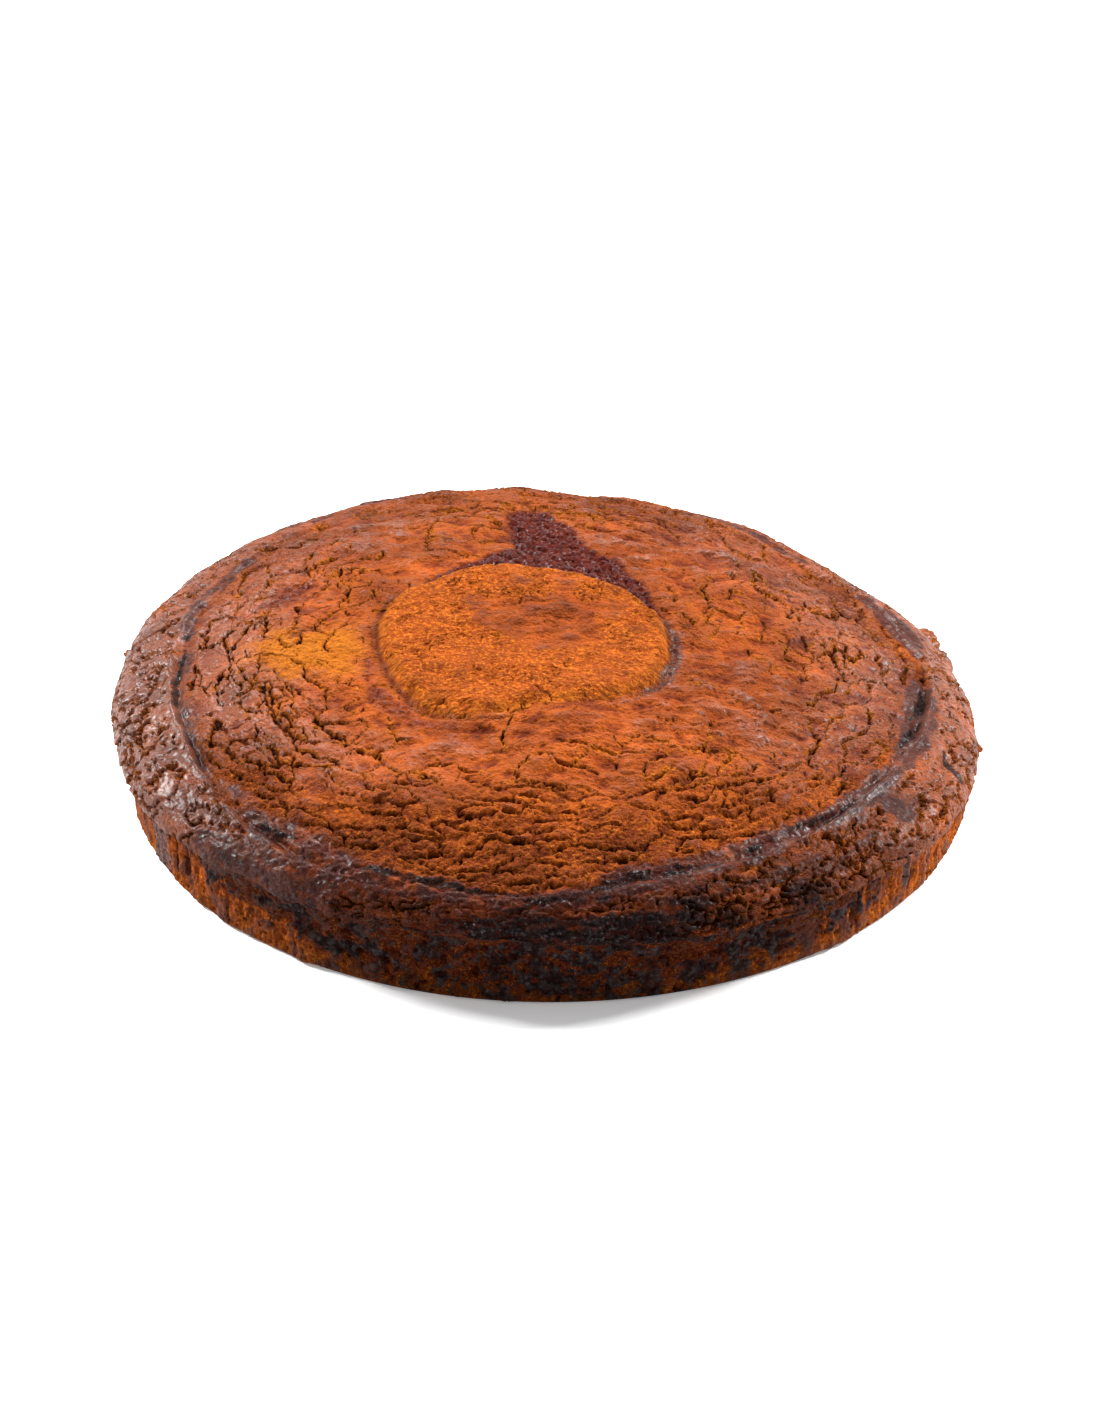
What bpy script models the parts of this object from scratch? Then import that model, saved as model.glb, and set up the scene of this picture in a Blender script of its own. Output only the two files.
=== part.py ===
"""A whole Basque cake: a round, low cake of baked dough, 24 cm across its crust.

It is one closed solid that stands on its flat underside. The crust is a shallow dome that spills over the
side as a rounded lip. It carries a raised disc of dough near its middle, with a furrow round the disc, a
hollow where filling seeped out behind it, and a fold of skin that runs round the rim.

Sizes are in millimetres and angles in degrees, from +X towards +Y. The mesh itself is in metres, with its
origin under the middle of the cake.
"""

import math

import bpy
import numpy as np

MM = 0.001
TAU = 2.0 * math.pi

# Driving sizes of the whole cake
CRUST_RADIUS = 120.6
WIDEST_HEIGHT = 20.2
SHOULDER_SHARE = 0.873
SHOULDER_HEIGHT = 32.0
SHOULDER_BEND = 0.7
DOME_HEIGHT = 45.0
DOME_POWER = 2.4
BASE_RADIUS = 116.8
BASE_CENTRE = (1.0, 0.0)
BASE_BEVEL = 1.0
WALL_FLARE = 0.9
WALL_HEIGHT = 17.6
LIP_FOLLOWS_LIFT = 0.8
WALL_FOLLOWS_LIFT = 0.7

# Raised disc of dough and what lies round it
DISC_RADIUS = 41.0
DISC_CENTRE = (-7.0, -1.0)
DISC_RAISE = 2.1
DISC_EDGE = (-3.6, 0.9)
FURROW_DEPTH = 0.8
FURROW_WIDTH = 2.2

# Fold of skin round the rim
FOLD_RADIUS = 105.4
FOLD_GROOVE = 1.3
FOLD_GROOVE_WIDTH = 1.8
FOLD_RIDGE = 1.2
FOLD_RIDGE_WIDTH = 2.3
FOLD_RIDGE_OUT = 3.6

# Uneven outlines, each lobe as (how many round the cake, size, direction of the first)
CRUST_LOBES = ((1, 1.0, 215), (2, 0.9, -35), (3, 0.25, -20))
LIFT_LOBES = ((1, 5.1, 169), (2, 2.35, 101))
DISC_LOBES = ((1, 0.5, 147), (2, 0.3, 44), (3, 1.5, 0), (4, 1.2, -35), (5, 0.7, 27))
FOLD_LOBES = ((1, 3.9, -93), (2, 2.9, 56), (3, 2.65, 16), (5, 1.1, 22))
FURROW_LOBES = ((1, 0.25, -60), (2, 0.55, 10))
FOLD_STRENGTH_LOBES = ((1, 0.3, 255), (3, 0.2, -30))

# Low mounds and hollows of the crust: x, y, length, width, direction of the length, height
MOUNDS = (
    (5, -48, 32, 27, 0, 2.2),
    (48, -25, 20, 9, 10, 0.9),
    (-64, 44, 38, 24, 60, 0.9),
    (58, 34, 44, 30, 100, 0.9),
    (30, -76, 50, 14, 20, 0.7),
    (-36, -74, 44, 16, -25, 0.7),
    (-2, 64, 22, 38, 0, -1.2),
    (21, 38, 34, 9, -65, -0.9),
    (-24, 45, 26, 8, 30, -0.7),
    (-22, -52, 34, 13, 10, -0.7),
    (-74, 30, 16, 13, 40, -1.0),
    (60, -46, 46, 20, 30, -0.6),
    (110, -30, 13, 5, 75, -1.8),
)

# Crumbs that stick out of the lip: direction, radius, height
RIM_CRUMBS = (
    (167, 2.8, 2.0),
    (160, 3.5, 0.9),
    (23, 3.0, 2.4),
    (17, 4.0, 1.8),
    (-5, 3.0, 2.2),
    (-118, 3.2, 1.2),
)

# Hollows where the side is burnt or torn: direction, height of the middle, length round, height, depth
SIDE_HOLLOWS = (
    (-147, 10, 5, 22, 1.3),
    (-115, 13, 44, 9, 0.9),
    (-73, 11, 9, 12, 0.9),
    (-63, 12, 8, 14, 1.1),
)

# Waves that make the crust and the side uneven: length, height on the crust, height on the side
WAVES = ((46, 0.45, 0.25), (21, 0.26, 0.4), (11, 0.18, 0.4))
WAVE_SEED = 71

# Facets: their size, and where the rings lie that don't follow from it
FACET = 3.75
NARROW_FACET = 2.2
LIP_RINGS = 6
TUCK_SHARE = 0.55
UNDERSIDE_SHARES = (0.8, 0.5, 0.2)
TRIAL_ANGLES = np.linspace(0.0, TAU, 361)
SHARP_EDGE = 60

CRUST_COLOUR = (0.40, 0.115, 0.022)
CRUST_ROUGHNESS = 0.55


def lobes(angle, table):
    """Sum of the lobes of an uneven outline, at angles in radians."""
    return sum(size * np.cos(count * (angle - math.radians(toward))) for count, size, toward in table)


def hump(distance, width):
    """One in the middle, falling off smoothly over the width on either side."""
    return np.exp(-((distance / width) ** 2))


def rise(value, low, high):
    """Zero below low, one above high, and a smooth step between."""
    share = np.clip((value - low) / (high - low), 0.0, 1.0)
    return share * share * (3.0 - 2.0 * share)


def waves(points, length, seed, count=16):
    """Smooth unevenness of about one unit, as seeded waves that cross each other in space."""
    random = np.random.default_rng(seed)
    directions = random.normal(size=(3, count))
    directions /= np.linalg.norm(directions, axis=0)
    lengths = length * random.uniform(0.75, 1.35, count)
    phases = random.uniform(0.0, TAU, count)
    return np.sin(points @ (directions * TAU / lengths) + phases).sum(axis=1) / math.sqrt(count / 2)


def around(angle, radius, centre=(0.0, 0.0)):
    """Plan positions at a radius from a centre, one row for each angle."""
    return np.stack([centre[0] + radius * np.cos(angle), centre[1] + radius * np.sin(angle)], axis=-1)


def crust_radius(angle):
    """Radius of the lip's widest line."""
    return CRUST_RADIUS + lobes(angle, CRUST_LOBES)


def widest_height(angle):
    """Height of the lip's widest line."""
    return WIDEST_HEIGHT + LIP_FOLLOWS_LIFT * lobes(angle, LIFT_LOBES)


def wall_height(angle):
    """Height at which the side goes in under the lip."""
    return WALL_HEIGHT + WALL_FOLLOWS_LIFT * lobes(angle, LIFT_LOBES)


def crust_height(plan):
    """Height of the smooth crust: the dome, then the shoulder, a quadratic curve down to the widest line."""
    angle = np.arctan2(plan[:, 1], plan[:, 0])
    radius = np.hypot(plan[:, 0], plan[:, 1])
    widest = crust_radius(angle)
    shoulder = widest * SHOULDER_SHARE
    lift = lobes(angle, LIFT_LOBES)
    out = np.clip(radius / shoulder, 0.0, 1.0)
    dome = SHOULDER_HEIGHT + lift * out + (DOME_HEIGHT - SHOULDER_HEIGHT) * (1.0 - out**DOME_POWER)
    low = widest_height(angle)
    high = SHOULDER_HEIGHT + lift
    bend = low + SHOULDER_BEND * (high - low)
    up = np.sqrt(np.clip((widest - radius) / (widest - shoulder), 0.0, 1.0))
    lip = (1.0 - up) ** 2 * low + 2.0 * up * (1.0 - up) * bend + up**2 * high
    return np.where(radius < shoulder, dome, lip)


def disc_outline(angle):
    """Plan of the raised disc's edge."""
    return around(angle, DISC_RADIUS + lobes(angle, DISC_LOBES), DISC_CENTRE)


def disc_middle(angle):
    """The disc's middle, once for each angle."""
    return around(angle, 0.0, DISC_CENTRE)


def fold_outline(angle):
    """Plan of the fold's groove."""
    return around(angle, FOLD_RADIUS + lobes(angle, FOLD_LOBES))


def lip_outline(angle):
    """Plan of the lip's widest line."""
    return around(angle, crust_radius(angle))


def off_disc(x, y):
    """Direction from the disc's middle, and distance beyond its edge."""
    angle = np.arctan2(y - DISC_CENTRE[1], x - DISC_CENTRE[0])
    reach = np.hypot(x - DISC_CENTRE[0], y - DISC_CENTRE[1])
    return angle, reach - DISC_RADIUS - lobes(angle, DISC_LOBES)


def disc_relief(x, y):
    """The disc with its rounded edge, and the furrow round its foot."""
    angle, beyond = off_disc(x, y)
    furrow = FURROW_DEPTH * (1.0 + lobes(angle, FURROW_LOBES)) * hump(beyond - FURROW_WIDTH, FURROW_WIDTH)
    return DISC_RAISE * (1.0 - rise(beyond, *DISC_EDGE)) - furrow


def fold_relief(x, y):
    """The fold's groove with the ridge of skin outside it."""
    angle = np.arctan2(y, x)
    beyond = np.hypot(x, y) - FOLD_RADIUS - lobes(angle, FOLD_LOBES)
    ridge = FOLD_RIDGE * hump(beyond - FOLD_RIDGE_OUT, FOLD_RIDGE_WIDTH)
    groove = FOLD_GROOVE * hump(beyond, FOLD_GROOVE_WIDTH)
    return (1.0 + lobes(angle, FOLD_STRENGTH_LOBES)) * (ridge - groove)


def mound_relief(x, y):
    """The low mounds and hollows of the crust, which end at the disc's edge."""
    total = np.zeros_like(x)
    for middle_x, middle_y, length, width, toward, height in MOUNDS:
        turn = math.radians(toward)
        along = (x - middle_x) * math.cos(turn) + (y - middle_y) * math.sin(turn)
        across = (y - middle_y) * math.cos(turn) - (x - middle_x) * math.sin(turn)
        total += height * np.exp(-((2.0 * along / length) ** 2 + (2.0 * across / width) ** 2) ** 1.5)
    return total * rise(off_disc(x, y)[1], -FURROW_WIDTH, FURROW_WIDTH)


def crumb_relief(angle, z):
    """The crumbs that stick out of the lip."""
    total = np.zeros_like(z)
    for toward, radius, height in RIM_CRUMBS:
        turn = (angle - math.radians(toward) + math.pi) % TAU - math.pi
        reach = np.hypot(turn * CRUST_RADIUS, z - widest_height(math.radians(toward)))
        total += height * hump(reach, radius)
    return total


def side_relief(angle, z):
    """The hollows of the side."""
    total = np.zeros_like(z)
    for toward, middle, length, height, depth in SIDE_HOLLOWS:
        turn = (angle - math.radians(toward) + math.pi) % TAU - math.pi
        total -= depth * hump(turn * BASE_RADIUS, length / 2) * hump(z - middle, height / 2)
    return total


def relief(points, crust_share):
    """How far each point of the smooth form stands out along its normal."""
    x, y, z = points.T
    angle = np.arctan2(y, x)
    crust = disc_relief(x, y) + fold_relief(x, y) + mound_relief(x, y) + crumb_relief(angle, z)
    side = side_relief(angle, z) + crumb_relief(angle, z)
    for number, (length, on_crust, on_side) in enumerate(WAVES):
        uneven = waves(points, length, WAVE_SEED + number)
        crust += on_crust * uneven
        side += on_side * uneven
    footing = rise(z, 0.0, 2.0 * BASE_BEVEL)
    return footing * (crust_share * crust + (1.0 - crust_share) * side)


def steps(distance, size):
    """How many facets of about this size fill a distance."""
    return max(1, round(distance / size))


def past(outline, out):
    """An outline moved outwards."""
    return lambda angle: outline(angle) + around(angle, out)


def between(first, second, share):
    """An outline part of the way from one to another."""
    return lambda angle: (1.0 - share) * first(angle) + share * second(angle)


def rings_between(first, second, count):
    """Evenly spaced outlines between two others, without those two."""
    return [between(first, second, number / count) for number in range(1, count)]


def crust_outlines():
    """Plans of the rings of the crust in order, over the disc's edge and the fold to the lip's widest line."""
    foot = past(disc_outline, 1.5 * NARROW_FACET)
    lead = past(fold_outline, -2.0 * NARROW_FACET)
    dome_width = FOLD_RADIUS - DISC_RADIUS - 3.5 * NARROW_FACET
    outlines = rings_between(disc_middle, disc_outline, steps(DISC_RADIUS, FACET))
    outlines += [past(disc_outline, -NARROW_FACET / 2), past(disc_outline, NARROW_FACET / 2), foot]
    outlines += rings_between(foot, lead, steps(dome_width, FACET))
    outlines += [lead, past(fold_outline, -NARROW_FACET), fold_outline]
    for number in range(1, LIP_RINGS + 1):
        closer = math.sin(math.pi / 2 * number / LIP_RINGS)
        outlines.append(between(fold_outline, lip_outline, closer))
    return outlines


def on_crust(outline):
    """Turns a plan into a ring on the smooth crust."""
    return lambda angle: np.column_stack([outline(angle), crust_height(outline(angle))])


def lip_ring(angle):
    """Points of the lip's widest line."""
    return np.column_stack([lip_outline(angle), widest_height(angle)])


def side_ring(share):
    """A ring of the side, from above its bottom edge, at 0, to the lip, at 1."""
    return lambda angle: np.column_stack(
        [
            around(angle, BASE_RADIUS + WALL_FLARE * share, BASE_CENTRE),
            BASE_BEVEL + share * (wall_height(angle) - BASE_BEVEL),
        ]
    )


def tuck_ring(angle):
    """Points of the ring under the lip, where it turns in towards the side."""
    return TUCK_SHARE * lip_ring(angle) + (1.0 - TUCK_SHARE) * side_ring(1.0)(angle)


def flat_ring(radius):
    """A ring of the flat underside."""
    return lambda angle: np.column_stack([around(angle, radius, BASE_CENTRE), 0.0 * angle])


def all_rings():
    """Every ring in order, with the size of its facets and how much it belongs to the crust."""
    rings = [(on_crust(outline), FACET, 1.0) for outline in crust_outlines()]
    rings.append((tuck_ring, FACET, 0.5))
    wall_count = steps(WALL_HEIGHT, FACET)
    rings += [(side_ring(1.0 - number / wall_count), FACET, 0.0) for number in range(wall_count + 1)]
    rings.append((flat_ring(BASE_RADIUS - BASE_BEVEL), FACET, 0.0))
    for number, share in enumerate(UNDERSIDE_SHARES):
        rings.append((flat_ring(share * BASE_RADIUS), FACET * 2 ** (number + 1), 0.0))
    return rings


def loop(ring, size, twist):
    """Angles and points of one ring, with as many points as facets of this size fill its length."""
    length = np.linalg.norm(np.diff(ring(TRIAL_ANGLES), axis=0), axis=1).sum()
    count = steps(length, size)
    angles = TAU * (np.arange(count) + twist) / count
    return angles, ring(angles)


def all_loops():
    """Angles, points and crust share of every ring, with the two middles as rings of one point."""
    middle = np.array([DISC_CENTRE])
    loops = [(np.zeros(1), np.column_stack([middle, crust_height(middle)]), 1.0)]
    for number, (ring, size, share) in enumerate(all_rings()):
        angles, points = loop(ring, size, 0.5 * (number % 2))
        loops.append((angles, points, share))
    loops.append((np.zeros(1), np.array([[*BASE_CENTRE, 0.0]]), 0.0))
    return loops


def band(inner, outer, inner_start, outer_start):
    """Triangles between two rings, each step taken on the ring whose next point comes first."""
    counts = (len(inner), len(outer))
    moves = tuple(0 if count == 1 else count for count in counts)
    ahead = [np.append(angles[1:], angles[0] + TAU)[:most] for angles, most in zip((inner, outer), moves)]
    on_outer = np.repeat([False, True], moves)[np.argsort(np.concatenate(ahead), kind="stable")]
    inner_step = np.cumsum(~on_outer) - ~on_outer
    outer_step = np.cumsum(on_outer) - on_outer
    near = inner_start + inner_step % counts[0]
    far = outer_start + outer_step % counts[1]
    next_near = inner_start + (inner_step + 1) % counts[0]
    next_far = outer_start + (outer_step + 1) % counts[1]
    return np.column_stack([near, far, np.where(on_outer, next_far, next_near)])


def vertex_normals(points, faces):
    """Unit normals of the mesh's points, each the mean of the faces round it by area."""
    corners = points[faces]
    across = np.cross(corners[:, 1] - corners[:, 0], corners[:, 2] - corners[:, 0])
    normals = np.zeros_like(points)
    for corner in range(3):
        np.add.at(normals, faces[:, corner], across)
    return normals / np.linalg.norm(normals, axis=1, keepdims=True)


def cake_mesh():
    """Points in millimetres and triangles of the whole cake, its box centred over the origin."""
    loops = all_loops()
    starts = np.cumsum([0] + [len(angles) for angles, _, _ in loops])
    faces = np.vstack(
        [
            band(loops[number][0], loops[number + 1][0], starts[number], starts[number + 1])
            for number in range(len(loops) - 1)
        ]
    )
    points = np.vstack([ring for _, ring, _ in loops])
    shares = np.concatenate([np.full(len(angles), share) for angles, _, share in loops])
    points += vertex_normals(points, faces) * relief(points, shares)[:, None]
    points[:, :2] -= (points[:, :2].min(axis=0) + points[:, :2].max(axis=0)) / 2
    return points, faces


def crust_material():
    """Baked dough."""
    material = bpy.data.materials.new("baked_crust")
    material.use_nodes = True
    shader = material.node_tree.nodes["Principled BSDF"]
    shader.inputs["Base Color"].default_value = (*CRUST_COLOUR, 1.0)
    shader.inputs["Roughness"].default_value = CRUST_ROUGHNESS
    shader.inputs["Metallic"].default_value = 0.0
    return material


def make_cake():
    """The cake as one object."""
    points, faces = cake_mesh()
    mesh = bpy.data.meshes.new("cake")
    mesh.from_pydata((points * MM).tolist(), [], faces.tolist())
    mesh.materials.append(crust_material())
    mesh.shade_smooth()
    mesh.set_sharp_from_angle(angle=math.radians(SHARP_EDGE))
    cake = bpy.data.objects.new("cake", mesh)
    bpy.context.scene.collection.objects.link(cake)
    return cake


def clear_scene():
    """Removes what is in the scene."""
    for thing in list(bpy.data.objects):
        bpy.data.objects.remove(thing, do_unlink=True)


clear_scene()
make_cake()
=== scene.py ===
"""Looks of a whole Basque cake: cracked and glazed crust, raised disc, burnt fold, porous side and crumbs.

The cake's named sizes are in millimetres and its directions in degrees, from +X towards +Y. The floor, the
lights and the camera are in metres. The smooth form is that of the solid.
"""

import math
from functools import partial

import bpy
import numpy as np
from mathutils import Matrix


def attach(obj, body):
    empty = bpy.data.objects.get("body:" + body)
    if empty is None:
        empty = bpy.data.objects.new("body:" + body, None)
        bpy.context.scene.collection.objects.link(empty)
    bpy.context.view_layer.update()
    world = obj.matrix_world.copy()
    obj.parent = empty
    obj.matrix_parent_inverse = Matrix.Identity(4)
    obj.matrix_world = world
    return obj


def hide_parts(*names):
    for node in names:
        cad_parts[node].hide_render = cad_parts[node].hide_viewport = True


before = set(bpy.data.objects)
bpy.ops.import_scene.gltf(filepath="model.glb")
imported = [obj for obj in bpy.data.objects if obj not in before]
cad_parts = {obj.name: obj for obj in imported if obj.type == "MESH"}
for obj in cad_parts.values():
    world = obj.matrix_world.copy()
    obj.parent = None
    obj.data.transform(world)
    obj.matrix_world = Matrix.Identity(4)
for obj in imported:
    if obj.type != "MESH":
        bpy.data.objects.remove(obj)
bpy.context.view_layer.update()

MM = 0.001
TAU = 2 * math.pi
BODY = "root"
NODE = "cake"

# Driving sizes of the whole cake
CRUST_RADIUS = 120.6
WIDEST_HEIGHT = 20.2
SHOULDER_SHARE = 0.873
SHOULDER_HEIGHT = 32
SHOULDER_BEND = 0.7
DOME_HEIGHT = 45
DOME_POWER = 2.4
BASE_RADIUS = 116.8
BASE_CENTRE = (1, 0)
BASE_BEVEL = 1
WALL_FLARE = 0.9
WALL_HEIGHT = 17.6
LIP_FOLLOWS_LIFT = 0.8
WALL_FOLLOWS_LIFT = 0.7

# Raised disc of dough and what lies round it
DISC_RADIUS = 41
DISC_CENTRE = (-7, -1)
DISC_RAISE = 2.1
DISC_EDGE = (-3, 0.7)
FURROW_DEPTH = 0.8
FURROW_WIDTH = 2.2

# Fold of skin round the rim
FOLD_RADIUS = 105.4
FOLD_GROOVE = 1.3
FOLD_GROOVE_WIDTH = 1.8
FOLD_RIDGE = 1.2
FOLD_RIDGE_WIDTH = 2.3
FOLD_RIDGE_OUT = 3.6

# Uneven outlines, each lobe as (how many round the cake, size, direction of the first)
CRUST_LOBES = ((1, 1, 215), (2, 0.9, -35), (3, 0.25, -20))
LIFT_LOBES = ((1, 5.1, 169), (2, 2.35, 101))
DISC_LOBES = ((1, 0.5, 147), (2, 0.3, 44), (3, 1.5, 0), (4, 1.2, -35), (5, 0.7, 27))
FOLD_LOBES = ((1, 3.9, -93), (2, 2.9, 56), (3, 2.65, 16), (5, 1.1, 22))
FURROW_LOBES = ((1, 0.25, -60), (2, 0.55, 10))
FOLD_STRENGTH_LOBES = ((1, 0.3, 255), (3, 0.2, -30))

# Low mounds and hollows of the crust: x, y, length, width, direction of the length, height
MOUNDS = (
    (5, -48, 32, 27, 0, 2.2), (48, -25, 20, 9, 10, 0.9), (-64, 44, 38, 24, 60, 0.9),
    (58, 34, 44, 30, 100, 0.9), (30, -76, 50, 14, 20, 0.7), (-36, -74, 44, 16, -25, 0.7),
    (-2, 64, 22, 38, 0, -1.2), (21, 38, 34, 9, -65, -0.9), (-24, 45, 26, 8, 30, -0.7),
    (-22, -52, 34, 13, 10, -0.7), (-74, 30, 16, 13, 40, -1), (60, -46, 46, 20, 30, -0.6),
    (110, -30, 13, 5, 75, -1.8),
)

# Crumbs that stick out of the lip: direction, radius, height
RIM_CRUMBS = (
    (167, 2.8, 2), (160, 3.5, 0.9), (24, 4.2, 3.6), (18, 5, 2.2), (-5, 2.2, 1.4), (-118, 3.2, 1.2),
)

# Hollows where the side is burnt or torn: direction, height of the middle, length round, height, depth
SIDE_HOLLOWS = ((-147, 10, 5, 22, 1.3), (-115, 13, 44, 9, 0.9), (-73, 11, 9, 12, 0.9), (-63, 12, 8, 14, 1.1))

# How far down from its top the side is charred: direction, depth
CHAR_DEPTH = (
    (-152, 0), (-142, 5), (-132, 10), (-120, 12), (-100, 15),
    (-84, 16), (-66, 14), (-52, 9), (-42, 3), (-30, 0),
)

# Directions of the upright marks on the side, the strip by its two edges
DARK_STRIP = (-158, -152.5)
DARK_STREAK = -35.5
SIDE_CRACK = -149.5

# Waves of the crust and the side: length, height on the crust, height on the side
WAVES = ((46, 0.4, 0.25), (21, 0.18, 0.2), (11, 0.1, 0.15))
WAVE_SEED = 71

# Seeped filling behind the disc and in its furrow: x, y, half width along each strand
SYRUP_STRANDS = (
    ((-5, 77, 7), (-1, 66, 10), (2, 54, 11), (15, 43, 8), (24, 31, 4.5), (30, 19, 1.2)),
    ((0, 50, 9), (-14, 46, 5), (-24, 40, 3), (-35, 31, 1)),
)
FURROW_STRANDS = (
    ((33, 13, 0.9), (36, 4, 1.6), (36, -8, 1.9), (33, -20, 1.8), (27, -29, 1.2), (20, -35, 0.4)),
)

# Places stained by the filling, likewise
STAINS = (
    ((-50, -8, 0.3), (-49, -22, 1.4), (-44, -34, 2.8), (-37, -42, 2.4), (-26, -47, 0.8)),
    ((-80, 25, 1.5), (-74, 30, 5), (-68, 35, 2.5)),
)

# Glazed patches, the pale one, and the rippled one on the disc: x, y, half length along x and along y
GLAZE_PATCHES = ((50, -28, 34, 25), (-22, -52, 24, 9), (-52, 62, 22, 15), (30, 60, 40, 16))
PALE_PATCH = (-67, -5, 17, 16)
DISC_PATCH = (-2, 12, 24, 19)

# Dark skin along the fold and below it, likewise
FOLD_STRANDS = (
    ((-84, 60, 0.8), (-89, 53, 2), (-96, 42, 2.6), (-101, 28, 1.6), (-101, 12, 1.8), (-101, 0, 2.4),
     (-102, -13, 2.4), (-100, -27, 1.8), (-97, -39, 1.6), (-92, -56, 1)),
    ((-87, -59, 1), (-80, -70, 1.8), (-76, -81, 3.4), (-70, -86, 5), (-60, -96, 5), (-50, -101, 3.2)),
    ((-92, -76, 1.8), (-86, -86, 4.5), (-74, -94, 5.5), (-64, -100, 4), (-50, -102, 3)),
    ((-52, -101, 3), (-39, -106, 3.4), (-26, -110, 3.2), (-11, -113, 2.6), (0, -114, 1.6), (13, -111, 3),
     (24, -105, 4.6), (35, -102, 4.4), (48, -94, 4.2), (62, -82, 3.2), (76, -71, 3),
     (87, -55, 3.4), (97, -38, 3), (101, -24, 4.4), (104, -6, 5), (104, 8, 3)),
    ((90, 60, 1), (97, 48, 3.4), (103, 38, 4.2), (106, 28, 2)),
    ((88, -52, 3.4), (95, -61, 3.4)),
    ((-34, -118, 1.4), (0, -120, 1.8), (18, -118, 1.6), (34, -113, 0.8)),
    ((-30, 108, 1), (-55, 97, 2.4), (-74, 80, 1)),
    ((40, 102, 0.8), (62, 88, 2), (78, 74, 0.8)),
)

# Lines burnt nearly black, likewise
BURNT_STRANDS = (
    ((-101, 16, 0.3), (-102, 2, 0.9), (-103, -10, 1.1), (-102, -22, 0.4)),
    ((-76, -80, 0.6), (-71, -84, 1.4), (-66, -88, 0.6)),
    ((-50, -100, 0.5), (-36, -105, 1.2), (-20, -110, 1), (-8, -112, 0.5)),
    ((10, -111, 0.4), (20, -106, 1.8), (32, -102, 1.4), (44, -97, 0.6)),
    ((50, -92, 0.3), (64, -79, 0.9), (78, -68, 0.8), (86, -56, 0.4)),
    ((100, -14, 0.7), (105, -3, 1.4), (105, 6, 0.6)),
    ((96, -30, 0.5), (99, -24, 1.2), (103, -14, 0.6)),
    ((109, -26, 0.5), (111, -32, 0.9), (113, -37, 0.5)),
)

# Cracks that are seen from a step away: x, y along each
CRACKS = (
    ((-9, -42), (-12, -50), (-11, -58)), ((47, 49), (44, 36), (46, 26), (41, 15)),
    ((-34, 82), (-32, 72), (-34, 62), (-35, 45)), ((35, 63), (34, 48)), ((-59, 42), (-56, 30), (-55, 19)),
    ((76, -47), (60, -60), (45, -67), (30, -72)), ((-79, -19), (-75, -32), (-72, -40), (-67, -47)),
    ((-62, -40), (-57, -47), (-51, -53)), ((-43, -38), (-42, -48)), ((-60, -62), (-50, -65)),
    ((-44, 99), (-22, 97), (0, 101)), ((0, 84), (16, 81), (32, 84)), ((54, 76), (56, 60), (62, 50)),
    ((-14, 86), (0, 88), (4, 74)), ((84, 30), (80, 12), (84, -4), (82, -18)),
    ((-88, 30), (-90, 10), (-87, -8), (-90, -24)), ((55, 12), (57, 2), (66, -4)),
    ((-20, -74), (0, -72), (22, -76)),
)


def lobes(angle, table):
    """Sum of the lobes of an uneven outline, at angles in radians."""
    return sum(size * np.cos(count * (angle - math.radians(toward))) for count, size, toward in table)


def most(*values):
    """The largest of the values at each point."""
    return np.maximum.reduce(values)


def clipped(value):
    """The value, held from zero to one."""
    return np.clip(value, 0, 1)


def hump(distance, width):
    """One in the middle, falling off smoothly over the width."""
    return np.exp(-((distance / width) ** 2))


def rise(value, low, high):
    """Zero below low, one above high, and a smooth step between."""
    share = clipped((value - low) / (high - low))
    return share * share * (3 - 2 * share)


def blend(share, first, second):
    """First where share is zero, second where it is one."""
    return first + share * (second - first)


def waves(points, length, seed, count=16):
    """Smooth unevenness of about one unit, as waves."""
    random = np.random.default_rng(seed)
    directions = random.normal(size=(3, count))
    directions /= np.linalg.norm(directions, axis=0)
    lengths = length * random.uniform(0.75, 1.35, count)
    phases = random.uniform(0, TAU, count)
    return np.sin(points @ (directions * TAU / lengths) + phases).sum(axis=1) / math.sqrt(count / 2)


# Random surfaces


# Squares each way before the noise and a scatter repeat
LATTICE = 48
SCATTER = 512


def noise(points, size, seed):
    """Smooth random heights of about one unit, with bumps of this size."""
    slopes = np.random.default_rng(seed).normal(size=(LATTICE**3, 3)).astype(np.float32)
    slopes /= np.linalg.norm(slopes, axis=1, keepdims=True)
    place = points / size
    corner = np.floor(place).astype(np.int64)
    inside = (place - corner).astype(np.float32)
    fade = inside**3 * (inside * (inside * 6 - 15) + 10)
    total = np.zeros(len(points), np.float32)
    for step in np.ndindex(2, 2, 2):
        at = (corner + step) % LATTICE
        slope = slopes[(at[:, 0] * LATTICE + at[:, 1]) * LATTICE + at[:, 2]]
        height = np.einsum("ij,ij->i", slope, inside - np.array(step, np.float32))
        weights = [fade[:, axis] if step[axis] else 1 - fade[:, axis] for axis in range(3)]
        total += height * weights[0] * weights[1] * weights[2]
    return 1.7 * total.astype(np.float64)


def fractal(points, size, seed, octaves=3, rough=0.5):
    """Noise with ever finer bumps on it."""
    return sum(rough**step * noise(points, size / 2**step, seed + step) for step in range(octaves))


def layered(points, *layers):
    """Noises added up, each given as its height, size and seed."""
    return sum(height * noise(points, size, seed) for height, size, seed in layers)


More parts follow.
